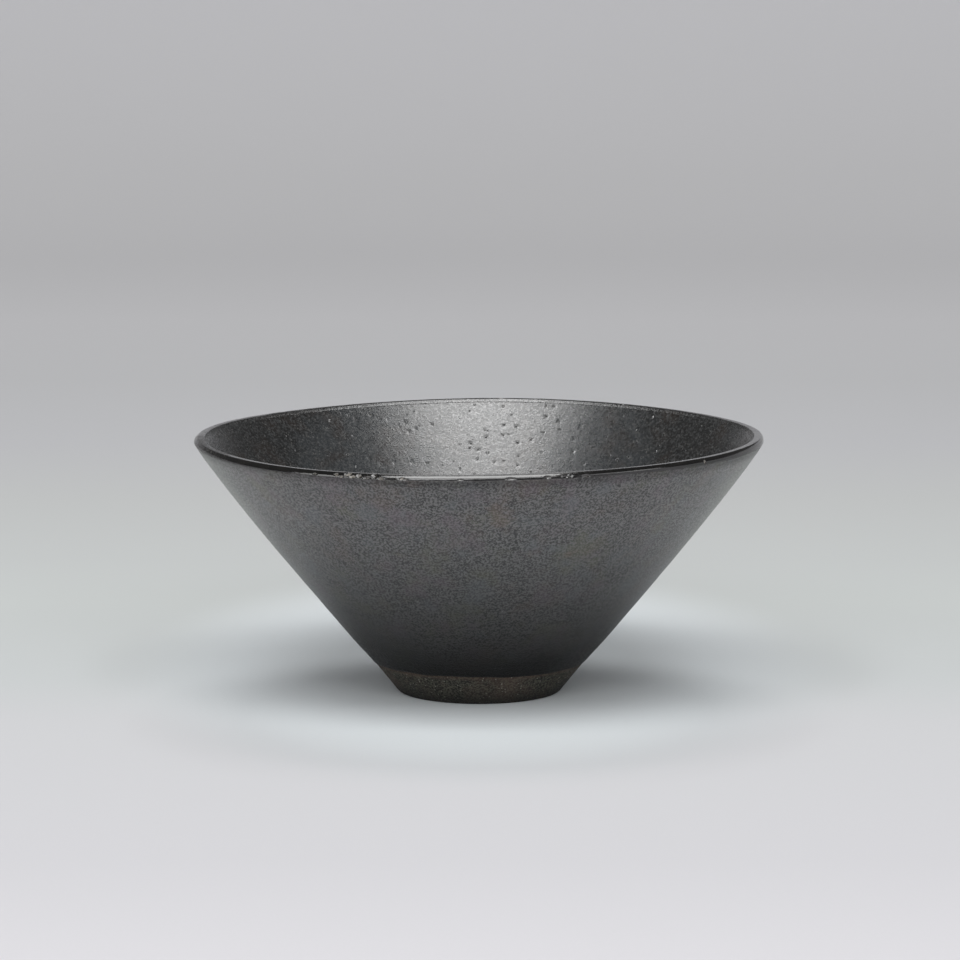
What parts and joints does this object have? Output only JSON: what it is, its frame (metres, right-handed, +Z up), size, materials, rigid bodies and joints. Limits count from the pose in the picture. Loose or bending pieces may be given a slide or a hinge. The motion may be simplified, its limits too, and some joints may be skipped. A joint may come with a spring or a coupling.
{
  "type": "serving bowl",
  "caption": "Cone-shaped stoneware serving bowl with a small turned foot, a dark glaze inside and out, a rounded glossy lip and a bare clay band at the foot.",
  "frame": {"origin": "middle of the foot ring, on the surface that the bowl stands on", "axes": "+Z up along the bowl's turning axis, out of its mouth"},
  "size_m": [0.18, 0.18, 0.082],
  "materials": {
    "bare_clay": "matte, sandy",
    "outer_glaze": "satin",
    "rim_glaze": "gloss",
    "inner_glaze": "gloss, pitted"
  },
  "bodies": {
    "root": {"clay_body": "bare_clay", "outer_glaze": "outer_glaze", "rim_glaze": "rim_glaze", "inner_glaze": "inner_glaze"}
  },
  "joints": []
}
